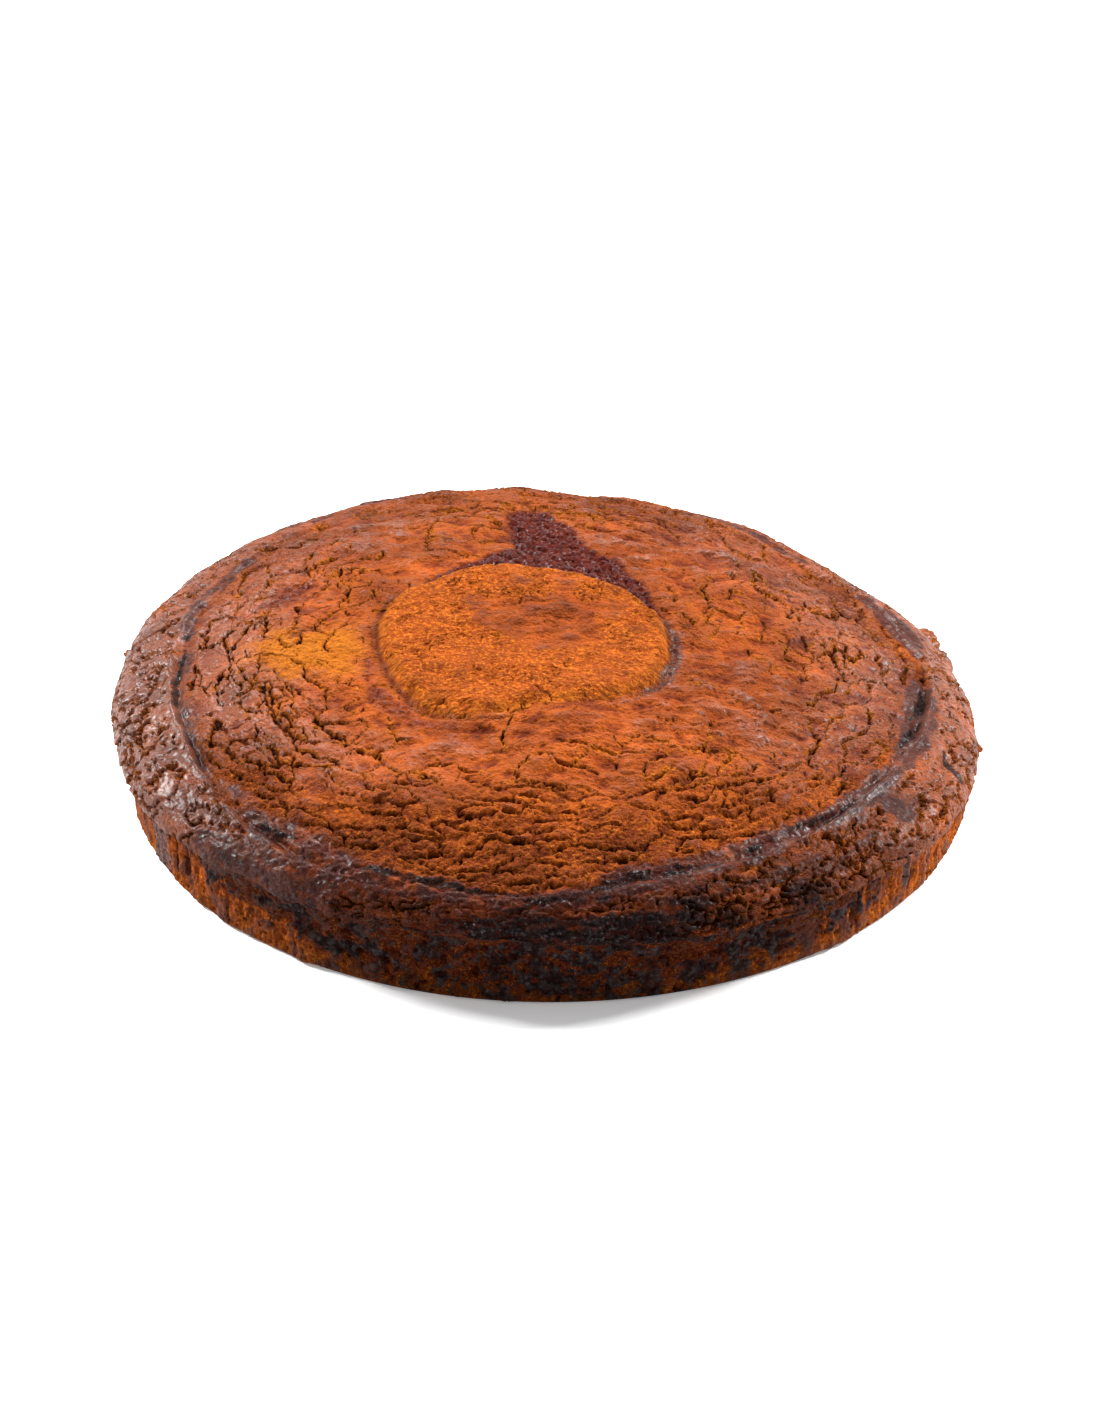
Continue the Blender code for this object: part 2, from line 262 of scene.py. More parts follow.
def cells(u, v, seed, round_count=SCATTER):
    """The two spots nearest to each point, of a scatter with one spot to each square of the u, v plane.

    Each is its distance, the way to it along u and along v, and its own random number. Along u the scatter
    repeats after round_count squares.
    """
    spots = np.random.default_rng(seed).random((SCATTER, SCATTER, 3))
    column = np.floor(u).astype(np.int64)
    row = np.floor(v).astype(np.int64)
    nearest = np.full((4, len(u)), 9.0)
    second = np.full((4, len(u)), 9.0)
    for step_u, step_v in np.ndindex(3, 3):
        at_u = column + step_u - 1
        at_v = row + step_v - 1
        spot = spots[at_u % round_count, at_v % SCATTER]
        way_u = at_u + spot[:, 0] - u
        way_v = at_v + spot[:, 1] - v
        found = np.stack([np.hypot(way_u, way_v), way_u, way_v, spot[:, 2]])
        closer = found[0] < nearest[0]
        second = np.where(closer, nearest, np.where(found[0] < second[0], found, second))
        nearest = np.where(closer, found, nearest)
    return nearest, second


def strand(x, y, route):
    """Distance outside a strand, negative inside it."""
    nearest = np.full(len(x), 1e3)
    for start, end in zip(route[:-1], route[1:]):
        run_x, run_y = end[0] - start[0], end[1] - start[1]
        along = clipped(((x - start[0]) * run_x + (y - start[1]) * run_y) / (run_x**2 + run_y**2))
        away = np.hypot(x - start[0] - along * run_x, y - start[1] - along * run_y)
        nearest = np.minimum(nearest, away - start[2] - along * (end[2] - start[2]))
    return nearest


# Smooth form of the cake


def around(angle, radius, centre=(0, 0)):
    """Plan positions at a radius from a centre."""
    return np.stack([centre[0] + radius * np.cos(angle), centre[1] + radius * np.sin(angle)], axis=-1)


def widest_height(angle):
    """Height of the lip's widest line."""
    return WIDEST_HEIGHT + LIP_FOLLOWS_LIFT * lobes(angle, LIFT_LOBES)


def wall_height(angle):
    """Height of the top of the side, under the lip."""
    return WALL_HEIGHT + WALL_FOLLOWS_LIFT * lobes(angle, LIFT_LOBES)


def crust_height(plan):
    """Height of the smooth crust: the dome, then a curve down to the widest line."""
    angle = np.arctan2(plan[:, 1], plan[:, 0])
    radius = np.hypot(plan[:, 0], plan[:, 1])
    widest = CRUST_RADIUS + lobes(angle, CRUST_LOBES)
    shoulder = widest * SHOULDER_SHARE
    lift = lobes(angle, LIFT_LOBES)
    out = clipped(radius / shoulder)
    dome = SHOULDER_HEIGHT + lift * out + (DOME_HEIGHT - SHOULDER_HEIGHT) * (1 - out**DOME_POWER)
    low = widest_height(angle)
    high = SHOULDER_HEIGHT + lift
    bend = low + SHOULDER_BEND * (high - low)
    up = np.sqrt(clipped((widest - radius) / (widest - shoulder)))
    lip = (1 - up) ** 2 * low + 2 * up * (1 - up) * bend + up**2 * high
    return np.where(radius < shoulder, dome, lip)


def outline(radius, table, centre=(0, 0)):
    """An uneven circle in plan."""
    return lambda angle: around(angle, radius + lobes(angle, table), centre)


DISC_OUTLINE = outline(DISC_RADIUS, DISC_LOBES, DISC_CENTRE)
DISC_MIDDLE = outline(0, (), DISC_CENTRE)
FOLD_OUTLINE = outline(FOLD_RADIUS, FOLD_LOBES)
LIP_OUTLINE = outline(CRUST_RADIUS, CRUST_LOBES)


def lip_point(angle):
    """Points of the lip's widest line."""
    return np.column_stack([LIP_OUTLINE(angle), widest_height(angle)])


def side_point(angle, share):
    """Points of the side, from 0 at its bottom edge to 1 at the lip."""
    height = BASE_BEVEL + share * (wall_height(angle) - BASE_BEVEL)
    return np.column_stack([around(angle, BASE_RADIUS + WALL_FLARE * share, BASE_CENTRE), height])


def underside_point(angle, share):
    """Points of the flat underside, from 0 in its middle to 1 at its edge."""
    edge = share * (BASE_RADIUS - BASE_BEVEL)
    return np.column_stack([around(angle, edge, BASE_CENTRE), 0 * angle])


# The skin as rings, from the middle of the crust to that of the underside


# Where pieces meet: off the disc's edge, off the fold, and the share of the crust between that is inner
DISC_FOOT = 3.3
FOLD_LEAD = -4.4
MID_CRUST = 0.56

# Length of the skin from there to the lip's widest line, and from that to the side
SHOULDER_RUN = 25
TUCK_RUN = 4

# Size of the facets
DISC_GRID = 0.37
CRUST_GRID = 0.42
RIM_GRID = 0.47
SIDE_GRID = 0.43
UNDERSIDE_GRID = 1.6


def past(outline, out):
    """An outline moved outwards."""
    return lambda angle: outline(angle) + around(angle, out)


def between(first, second, share):
    """Part of the way from one outline or ring to another."""
    return lambda angle: (1 - share) * first(angle) + share * second(angle)


def on_crust(outline):
    """Turns a plan into a ring on the smooth crust."""
    return lambda angle: np.column_stack([outline(angle), crust_height(outline(angle))])


def crust_rings(first, second, count, ease=lambda share: share):
    """Rings on the crust, from after the first outline up to the second."""
    return [(on_crust(between(first, second, ease(step / count))), 1) for step in range(1, count + 1)]


def ring_groups():
    """The pieces in order: name, size of the facets, rings with their share of crust."""
    foot = past(DISC_OUTLINE, DISC_FOOT)
    lead = past(FOLD_OUTLINE, FOLD_LEAD)
    middle = between(foot, lead, MID_CRUST)
    crust_run = FOLD_RADIUS + FOLD_LEAD - DISC_RADIUS - DISC_FOOT
    disc = crust_rings(DISC_MIDDLE, foot, round((DISC_RADIUS + DISC_FOOT) / DISC_GRID))
    inner = crust_rings(foot, middle, round(crust_run * MID_CRUST / CRUST_GRID))
    outer = crust_rings(middle, lead, round(crust_run * (1 - MID_CRUST) / CRUST_GRID))
    shoulder_count = round(SHOULDER_RUN / RIM_GRID)
    rim = crust_rings(lead, LIP_OUTLINE, shoulder_count, lambda share: math.sin(math.pi / 2 * share))
    wall_top = partial(side_point, share=1)
    tuck = [step / round(TUCK_RUN / RIM_GRID) for step in range(1, round(TUCK_RUN / RIM_GRID) + 1)]
    rim += [(between(lip_point, wall_top, share), 1 - share) for share in tuck]
    wall_count = round(WALL_HEIGHT / SIDE_GRID)
    wall = [(partial(side_point, share=1 - step / wall_count), 0) for step in range(1, wall_count + 1)]
    shares = np.linspace(1, 0.03, round(BASE_RADIUS / (2 * UNDERSIDE_GRID)))
    under = [(partial(underside_point, share=share), 0) for share in shares]
    return (
        ("raised_disc", DISC_GRID, disc),
        ("inner_crust", CRUST_GRID, inner),
        ("outer_crust", CRUST_GRID, outer),
        ("rim", RIM_GRID, rim),
        ("side", SIDE_GRID, wall + under[:1]),
        ("underside", UNDERSIDE_GRID, under[1:]),
    )


TRIAL = np.linspace(0, TAU, 361)


def loop(ring, size, twist):
    """Angles and points of a ring with facets of this size, and its points at TRIAL."""
    trial = ring(TRIAL)
    length = np.linalg.norm(np.diff(trial, axis=0), axis=1).sum()
    count = max(8, round(length / size))
    angles = TAU * (np.arange(count) + twist) / count
    return angles, ring(angles), trial


def band(inner, outer, inner_start, outer_start):
    """Triangles between two rings, each on the ring whose next point comes first."""
    counts = (len(inner), len(outer))
    moves = tuple(0 if count == 1 else count for count in counts)
    ahead = [np.append(angles[1:], angles[0] + TAU)[:most] for angles, most in zip((inner, outer), moves)]
    order = np.argsort(np.concatenate(ahead), kind="stable")
    on_outer = np.repeat([False, True], moves)[order]
    inner_step = np.cumsum(~on_outer) - ~on_outer
    outer_step = np.cumsum(on_outer) - on_outer
    near = inner_start + inner_step % counts[0]
    far = outer_start + outer_step % counts[1]
    next_near = inner_start + (inner_step + 1) % counts[0]
    next_far = outer_start + (outer_step + 1) % counts[1]
    return np.column_stack([near, far, np.where(on_outer, next_far, next_near)])


def whole_skin():
    """Smooth points, their share of crust, their distance from the middle and each piece's triangles."""
    middle = np.array([DISC_CENTRE])
    skin = [(np.column_stack([middle, crust_height(middle)]), np.ones(1), np.zeros(1))]
    last = np.zeros(1)
    start = 0
    pieces = {}
    coarse = None
    reach = np.zeros(len(TRIAL))
    for name, size, group in ring_groups():
        faces = []
        for ring, share in group:
            angles, points, trial = loop(ring, size, 0 if len(skin) % 2 else 0.5)
            if coarse is not None:
                reach = reach + np.linalg.norm(trial - coarse, axis=1)
            coarse = trial
            faces.append(band(last, angles, start, start + len(last)))
            start += len(last)
            last = angles
            skin.append((points, np.full(len(angles), share), np.interp(angles, TRIAL, reach)))
        pieces[name] = np.vstack(faces)
    closing = band(last, np.zeros(1), start, start + len(last))
    pieces["underside"] = np.vstack([pieces["underside"], closing])
    skin.append((np.array([[*BASE_CENTRE, 0]]), np.zeros(1), np.zeros(1)))
    points, shares, reaches = [np.concatenate(part) for part in zip(*skin)]
    return points, shares, reaches, pieces


def point_normals(points, faces):
    """Unit normals, each the mean of the faces round a point by area."""
    corners = points[faces]
    across = np.cross(corners[:, 1] - corners[:, 0], corners[:, 2] - corners[:, 0])
    normals = np.zeros_like(points)
    for axis in range(3):
        for corner in range(3):
            normals[:, axis] += np.bincount(faces[:, corner], across[:, axis], len(points))
    return normals / np.linalg.norm(normals, axis=1, keepdims=True)


# Named forms of the crust and the side


# Where patterns that run round the cake have their true size
TRUE_RADIUS = 0.8 * CRUST_RADIUS


def turned(angle, start):
    """How far an angle is turned from another, at most half a turn either way."""
    return (angle - start + math.pi) % TAU - math.pi


class Place:
    """Where each point of the smooth skin lies."""

    def __init__(self, points, reach):
        self.points = points
        self.x, self.y, self.z = points.T
        self.reach = reach
        self.angle = np.arctan2(self.y, self.x)
        self.radius = np.hypot(self.x, self.y)
        from_x, from_y = self.x - DISC_CENTRE[0], self.y - DISC_CENTRE[1]
        self.disc_angle = np.arctan2(from_y, from_x)
        ragged = layered(points, (0.6, 9, 11), (0.4, 3.8, 12))
        self.off_disc = np.hypot(from_x, from_y) - DISC_RADIUS - lobes(self.disc_angle, DISC_LOBES) + ragged
        wander = layered(points, (0.9, 12, 13), (0.5, 4, 14))
        self.off_fold = self.radius - FOLD_RADIUS - lobes(self.angle, FOLD_LOBES) + wander
        self.bend_x = layered(points, (1.5, 6.5, 15), (0.9, 2.4, 16), (0.45, 1.3, 19))
        self.bend_y = layered(points, (1.5, 6.5, 17), (0.9, 2.4, 18), (0.45, 1.3, 20))

    def toward(self, direction, width):
        """One at a direction round the cake, falling off over this many degrees."""
        return hump(turned(self.angle, math.radians(direction)), math.radians(width))

    def along(self, direction, radius=BASE_RADIUS):
        """Distance round the cake from a direction."""
        return turned(self.angle, math.radians(direction)) * radius

    def off_patch(self, patch):
        """Zero in the middle of an oval patch and one at its edge."""
        x, y, half_x, half_y = patch
        return np.hypot((self.x - x) / half_x, (self.y - y) / half_y)

    def ring_points(self, stretch):
        """Points on which forms come out this many times longer along the rim."""
        radius = TRUE_RADIUS / stretch
        return np.column_stack([radius * np.cos(self.angle), radius * np.sin(self.angle), self.reach])


class Plates:
    """Plates that lie along the rim: the one at each point, and its edges."""

    def __init__(self, at, around_size, out_size, seed, bend=1):
        count = round(TAU * TRUE_RADIUS / around_size)
        turn = (at.angle + bend * 0.011 * at.bend_x) % TAU
        near, far = cells(turn / TAU * count, (at.reach + bend * at.bend_y) / out_size, seed, count)
        over_u = (far[1] - near[1]) / around_size
        over_v = (far[2] - near[2]) / out_size
        self.gap = (far[0] ** 2 - near[0] ** 2) / (2 * np.hypot(over_u, over_v))
        self.lying = over_v**2 / (over_u**2 + over_v**2)
        self.open = rise(np.abs(near[3] - far[3]), 0.08, 0.25)
        self.height = near[3] - 0.5
        tilt = 40 * near[3]
        self.lean = near[1] * np.cos(tilt) + near[2] * np.sin(tilt)

    def cobble(self, edge):
        """One on each plate, falling to zero at its edges."""
        return 1 - hump(self.gap, edge)


def disc_relief(at):
    """The disc with its edge, softer in front, and the furrow round its foot."""
    furrow = FURROW_DEPTH * (1 + lobes(at.disc_angle, FURROW_LOBES))
    furrow = furrow * hump(at.off_disc - 0.6 * FURROW_WIDTH, 0.8 * FURROW_WIDTH)
    front = hump(turned(at.disc_angle, math.radians(-90)), math.radians(70))
    inner, outer = DISC_EDGE
    disc = DISC_RAISE * (1 - rise(at.off_disc, inner - 2.5 * front, outer + 0.8 * front))
    return disc - furrow * (1 - 0.4 * front)


def fold_relief(at):
    """The fold's groove with the ridge of skin outside it."""
    ridge = 0.45 * FOLD_RIDGE * hump(at.off_fold - FOLD_RIDGE_OUT, FOLD_RIDGE_WIDTH)
    ridge += 0.75 * FOLD_RIDGE * hump(at.off_fold - FOLD_GROOVE_WIDTH, 0.45 * FOLD_RIDGE_WIDTH)
    groove = FOLD_GROOVE * hump(at.off_fold + 0.2, 0.7 * FOLD_GROOVE_WIDTH)
    uneven = 0.7 + 1.1 * noise(at.points, 16, 24)
    uneven *= 1 - 0.95 * at.toward(-90, 36) - 0.4 * at.toward(85, 60)
    return uneven * (1 + lobes(at.angle, FOLD_STRENGTH_LOBES)) * (ridge - groove)


def mound_relief(at):
    """Low mounds and hollows of the crust."""
    total = np.zeros_like(at.x)
    for x, y, length, width, toward, height in MOUNDS:
        turn = math.radians(toward)
        along = (at.x - x) * math.cos(turn) + (at.y - y) * math.sin(turn)
        across = (at.y - y) * math.cos(turn) - (at.x - x) * math.sin(turn)
        total += height * np.exp(-((2 * along / length) ** 2 + (2 * across / width) ** 2) ** 1.5)
    return total * rise(at.off_disc, -1.5, 1.5)


def crumb_relief(at):
    """The ragged crumbs that stick out of the lip."""
    ragged = layered(at.points, (1.3, 3, 27), (0.7, 1.5, 28))
    total = np.zeros_like(at.z)
    for toward, radius, height in RIM_CRUMBS:
        reach = np.hypot(at.along(toward, CRUST_RADIUS), at.z - widest_height(math.radians(toward)))
        total += height * (1 - rise(reach + ragged, 0.3 * radius, 1.2 * radius))
    return total


def side_relief(at):
    """The hollows of the side."""
    total = np.zeros_like(at.z)
    for toward, middle, length, height, depth in SIDE_HOLLOWS:
        total -= depth * hump(at.along(toward), length / 2) * hump(at.z - middle, height / 2)
    return total


def strands(at, routes, edge):
    """One inside a group of strands and zero outside, with uneven edges."""
    uneven = layered(at.points, (1.1 * edge, 4.5, 25), (0.5 * edge, 1.6, 26))
    away = np.minimum.reduce([strand(at.x, at.y, route) for route in routes])
    return 1 - rise(away + uneven, -1.2 * edge, 1.2 * edge)


class Zones:
    """How much each point is on each kind of crust, and the plates that it breaks into."""

    def __init__(self, at):
        patchy = self.patchy = layered(at.points, (1, 15, 31), (0.5, 6, 32))
        self.fine = fractal(at.points, 2.4, 46, 2, 0.8)
        self.dimples = fractal(at.points, 2.4, 43, 2, 0.6)
        self.ripple = noise(at.points * (0.6, 1, 1), 5, 41)
        self.ripple += 0.8 * np.abs(fractal(at.points * (0.7, 1.2, 1), 7, 53, 4, 0.6)) - 0.25

        self.disc = 1 - rise(at.off_disc, -1, 0.5)
        self.rim = rise(at.off_fold, -1, 2)
        self.crust = (1 - self.disc) * (1 - self.rim)
        self.left = at.toward(188, 48)
        self.right = at.toward(8, 52)
        self.left_rim = self.rim * at.toward(192, 45)
        self.front_rim = self.rim * at.toward(-92, 42)
        frontal = 30 * at.toward(-88, 50) + at.radius + 6 * patchy
        self.slope = self.crust * rise(frontal, 86, 116)
        self.granular = self.crust * rise(frontal, 98, 128)

        drift = 0.25 * noise(at.points, 26, 21)
        flat = self.crust * (1 - self.slope)
        glaze = [1 - rise(at.off_patch(patch) + drift, 0.7, 1.15) for patch in GLAZE_PATCHES]
        self.glaze = flat * most(*glaze)
        self.pale = 1 - rise(at.off_patch(PALE_PATCH) + 0.4 * patchy, 0.35, 1.3)
        self.disc_patch = self.disc * (1 - rise(at.off_patch(DISC_PATCH) + 0.5 * patchy, 0.4, 1.2))
        inner = 50 - 8 * at.toward(195, 60)
        self.cracked = flat * (0.25 + 0.75 * rise(at.radius, inner, 88)) * (1 - 0.75 * self.glaze)

        syrup = most(strands(at, SYRUP_STRANDS, 1), 0.6 * strands(at, STAINS, 1.8))
        self.syrup = syrup * (1 - self.disc)
        furrow = 0.6 * strands(at, FURROW_STRANDS, 0.9) * (1 - self.disc)
        self.dusk = most(furrow, strands(at, FOLD_STRANDS, 1.3))
        self.burnt = strands(at, BURNT_STRANDS, 0.8)
        self.wet = clipped(self.syrup + self.dusk)
        self.whole = 1 - most(self.syrup, 0.85 * most(self.dusk, self.burnt))

        self.sheets = Plates(at, 14, 7.5, 34)
        self.chips = Plates(at, 6.5, 3.8, 35, 0.8)
        self.rows = Plates(at, 8.5, 4.3, 48, 0.9)
        self.lumps = Plates(at, 7, 5, 38)
        self.crackle = Plates(at, 2.7, 2.2, 39, 0.5)
        self.grains = Plates(at, 2.5, 1.8, 55, 0.5)


# Depth that keeps a crack shut
SHUT = 4

# Half width of the large cracks, which end in points
CRACK_HALF = 0.5


def large_cracks(at):
    """Distance from the large cracks."""
    bent_x, bent_y = at.x + 0.8 * at.bend_x, at.y + 0.8 * at.bend_y
    away = []
    for start, *bends, end in CRACKS:
        route = [(*start, 0), *((*spot, CRACK_HALF) for spot in bends), (*end, 0)]
        away.append(strand(bent_x, bent_y, route))
    return CRACK_HALF + np.minimum.reduce(away)


def broken_skin(at, on):
    """How far each point is inside a crack and inside bare crumb, and the height of the plates."""
    swell = rise(fractal(at.points, 5, 33, 2, 0.7) + 0.3 * on.patchy, -0.35, 1)
    spread = rise(fractal(at.points, 3.6, 30, 2, 0.7) + 0.3 * on.patchy, -0.4, 0.9)
    level = on.cracked + 0.35 * on.patchy
    wide = 0.12 + rise(at.radius, 45, 85) * (0.25 + 0.5 * at.toward(205, 60))
    hair = 0.1 + 0.2 * at.toward(75, 80)
    sheets, chips, rows, lumps, crackle = on.sheets, on.chips, on.rows, on.lumps, on.crackle
    on_sheets = rise(level, 0.1, 0.5) * sheets.open * (0.4 + 0.6 * sheets.lying)
    on_chips = rise(level, 0.7, 1.2) * chips.open * (0.4 + 0.6 * chips.lying)
    disc_chips = 0.5 * on.disc * chips.open * rise(on.patchy, -0.1, 0.4)
    on_rows = on.slope * rows.open * (0.2 + 0.8 * rows.lying)
    on_rim = on.rim * rise(on.patchy, -1, 0)
    lump_height = 0.05 + 0.08 * at.toward(192, 45)
    # Distance off, where, least and further half width, bare crumb beside it, plates between, their height
    layers = (
        (large_cracks(at), 1 - on.disc, 0.2, 0.5, 1, None, 0),
        (sheets.gap, on_sheets, hair, wide, 1.3, sheets, 0.45),
        (chips.gap, on_chips, hair, 0.35, 0.9, chips, 0.25),
        (chips.gap, disc_chips, 0.12, 0.15, 0.4, chips, 0.2),
        (rows.gap, on_rows, 0.18, 0.5, 0.9, rows, 0.5),
        (lumps.gap, on_rim * lumps.open, 0.1, 0.3, 0.9, lumps, lump_height),
        (crackle.gap, on_rim * rise(spread, 0.1, 0.6), 0.06, 0.2, 0.4, crackle, 0.08),
    )
    core = np.full(len(at.x), -SHUT)
    bare = np.full(len(at.x), -SHUT)
    lift = np.zeros_like(at.x)
    for gap, here, least, further, crumbly, plates, height in layers:
        half_width = here * (least + further * swell)
        shut = SHUT * (1 - rise(here, 0.05, 0.35))
        core = most(core, half_width - gap - shut)
        bare = most(bare, half_width + crumbly * spread * here - gap - shut)
        if plates:
            lift += here * height * (plates.height + 0.8 * plates.lean)
            lift += 0.12 * here * hump(gap - half_width - 0.55, 0.45)
    shut = SHUT * (1 - on.whole)
    return core - shut, bare - shut, on.whole * lift


def crust_texture(at, on, bare):
    """Fine relief of the crust: ripples, scoops, wrinkles, grains and rounded plates."""
    grainy = 0.3 * on.slope + 0.7 * on.granular + 0.1 * on.left_rim + 0.1 * on.disc
    grainy = clipped(grainy + 0.5 * bare + 0.8 * on.front_rim) * (1 - on.syrup)
    rippled = (0.8 + 0.5 * on.glaze - 0.5 * on.left) * (1 - on.rim) * (1 - 0.7 * on.slope)
    scoops = rise(noise(at.points * (0.6, 1.2, 1), 5.5, 40), 0.35, 0.8) * on.glaze
    texture = 0.75 * on.ripple * rippled * (1 - 0.7 * on.disc * (1 - on.disc_patch)) - 0.4 * scoops
    wrinkled = (1 - on.disc) * (1 - on.rim * (0.4 + 0.4 * on.left + 0.2 * on.right))
    texture += 0.3 * fractal(at.ring_points(1.4), 5, 42) * rise(at.radius, 40, 65) * wrinkled
    texture += 0.8 * (on.rows.lying * on.rows.cobble(1.5) - 0.4) * on.slope
    texture += (0.1 * on.left_rim + 0.05 * on.rim + 0.3 * on.front_rim) * (on.lumps.cobble(1.1) - 0.6)
    texture += 0.1 * on.rim * (on.crackle.cobble(0.4) - 0.5)
    texture += 0.15 * (on.chips.cobble(0.8) - 0.6) * on.cracked
    texture += 0.5 * noise(at.points, 4.5, 54) * hump(at.off_disc + 3, 3)
    texture += (0.5 - 0.25 * on.slope) * (on.grains.cobble(0.55) - 0.5) * grainy
    texture += 0.14 * noise(at.points, 1.5, 45) * (0.5 + 0.5 * grainy) + 0.18 * on.fine * (0.8 + 0.2 * grainy)
    texture += 0.3 * fractal(at.points * (0.7, 1, 1), 5, 47) * on.disc
    return blend(on.syrup, texture, 1.1 * on.dimples)


def crust_breaks(at, on):
    """Holes, seams between grains, creases and pits of the crust."""
    holed = 0.7 * on.slope + 0.3 * on.rim + 0.5 * on.left_rim + 0.5 * on.front_rim + 0.3 * on.pale
    holes = rise(noise(at.ring_points(1.6), 2.4, 44) + 0.25 * on.patchy, 0.6, 0.9) * clipped(holed) * on.whole
    seamed = 0.3 * on.slope + 0.7 * on.granular + 0.6 * on.front_rim + 0.35 * on.rim
    seams = (1 - rise(on.grains.gap, 0, 0.4)) * on.grains.open * rise(on.fine, -0.3, 0.5)
    seams *= clipped(seamed) * on.whole
    creased = on.crust * (1 - 0.6 * on.slope) * rise(on.patchy + 0.6 * on.fine, -0.3, 0.5)
    creases = 1 - rise(np.abs(fractal(at.points * (0.7, 1.2, 1), 9, 60, 4, 0.6)), 0.02, 0.09)
    creases *= creased * on.whole
    pits = rise(noise(at.points, 1.6, 57) + 0.2 * on.patchy, 0.75, 0.95) * on.disc
    return holes, seams, creases, pits


def crust_browning(at, on, foot):
    """How far the crust is browned and how far it is burnt, with the painted shade line along the disc's foot
    added to the browning.
    """
    out = rise(at.radius + 5 * noise(at.points, 20, 51), 66, 112)
    patches = fractal(at.points, 16, 52)
    streaks = fractal(at.ring_points(3.5), 4, 58, 3, 0.7)
    front = at.toward(-95, 45)
    browning = 0.26 + 0.28 * out - 0.05 * on.slope + 0.25 * patches + 0.12 * on.glaze + 0.5 * foot
    browning += 0.15 * out * at.toward(200, 50) + 0.12 * fractal(at.points, 6, 59, 2)
    streaked = 0.7 * streaks * (0.3 + 0.7 * front)
    browning += on.rim * (0.05 + 0.75 * front - 0.15 * at.toward(-5, 45) + streaked)
    browning -= 0.22 * at.toward(-92, 55) * hump(at.radius - 62, 26) * (1 - on.disc)
    browning *= (1 - 0.6 * on.disc) * (1 - 0.6 * on.pale)
    mottled = fractal(at.points * (0.7, 1, 1), 4.5, 72, 3, 0.7)
    browning += on.disc_patch * (0.15 + 0.2 * on.ripple) + on.disc * (0.08 + 0.2 * mottled)

    below = rise(at.off_fold, 3, 12)
    burnt = 0.65 * below * at.toward(-96, 38) + 0.28 * on.front_rim + 0.5 * streaks * on.front_rim
    burnt = clipped(burnt + 0.3 * patches * below) * rise(at.toward(-96, 45), 0.1, 0.5)
    return clipped(browning), most(on.burnt, burnt)


def crust_gloss_and_painted_sheen(on, tops, outer, ribbon, burnt):
    """How much satin glaze shows, most on raised places: the real coat gloss, and how far the painted sheen
    colour is mixed in.
    """
    left = on.left * outer
    sheen = 0.04 + 0.85 * left + 0.6 * on.right * outer + 0.45 * tops * (0.6 + 0.4 * on.glaze)
    sheens = (
        (on.slope, 0.15 * tops),
        (on.disc, 0.02 + 0.2 * tops),
        (on.front_rim, 0.04 + 0.5 * tops),
        (on.syrup, 0.05 + 0.3 * tops),
        (on.dusk, 0.06 + 0.3 * ribbon + 0.4 * left + 0.25 * (1 - outer)),
    )
    for zone, there in sheens:
        sheen = blend(zone, sheen, there)
    return clipped(sheen * (1 - 0.8 * clipped(burnt)))


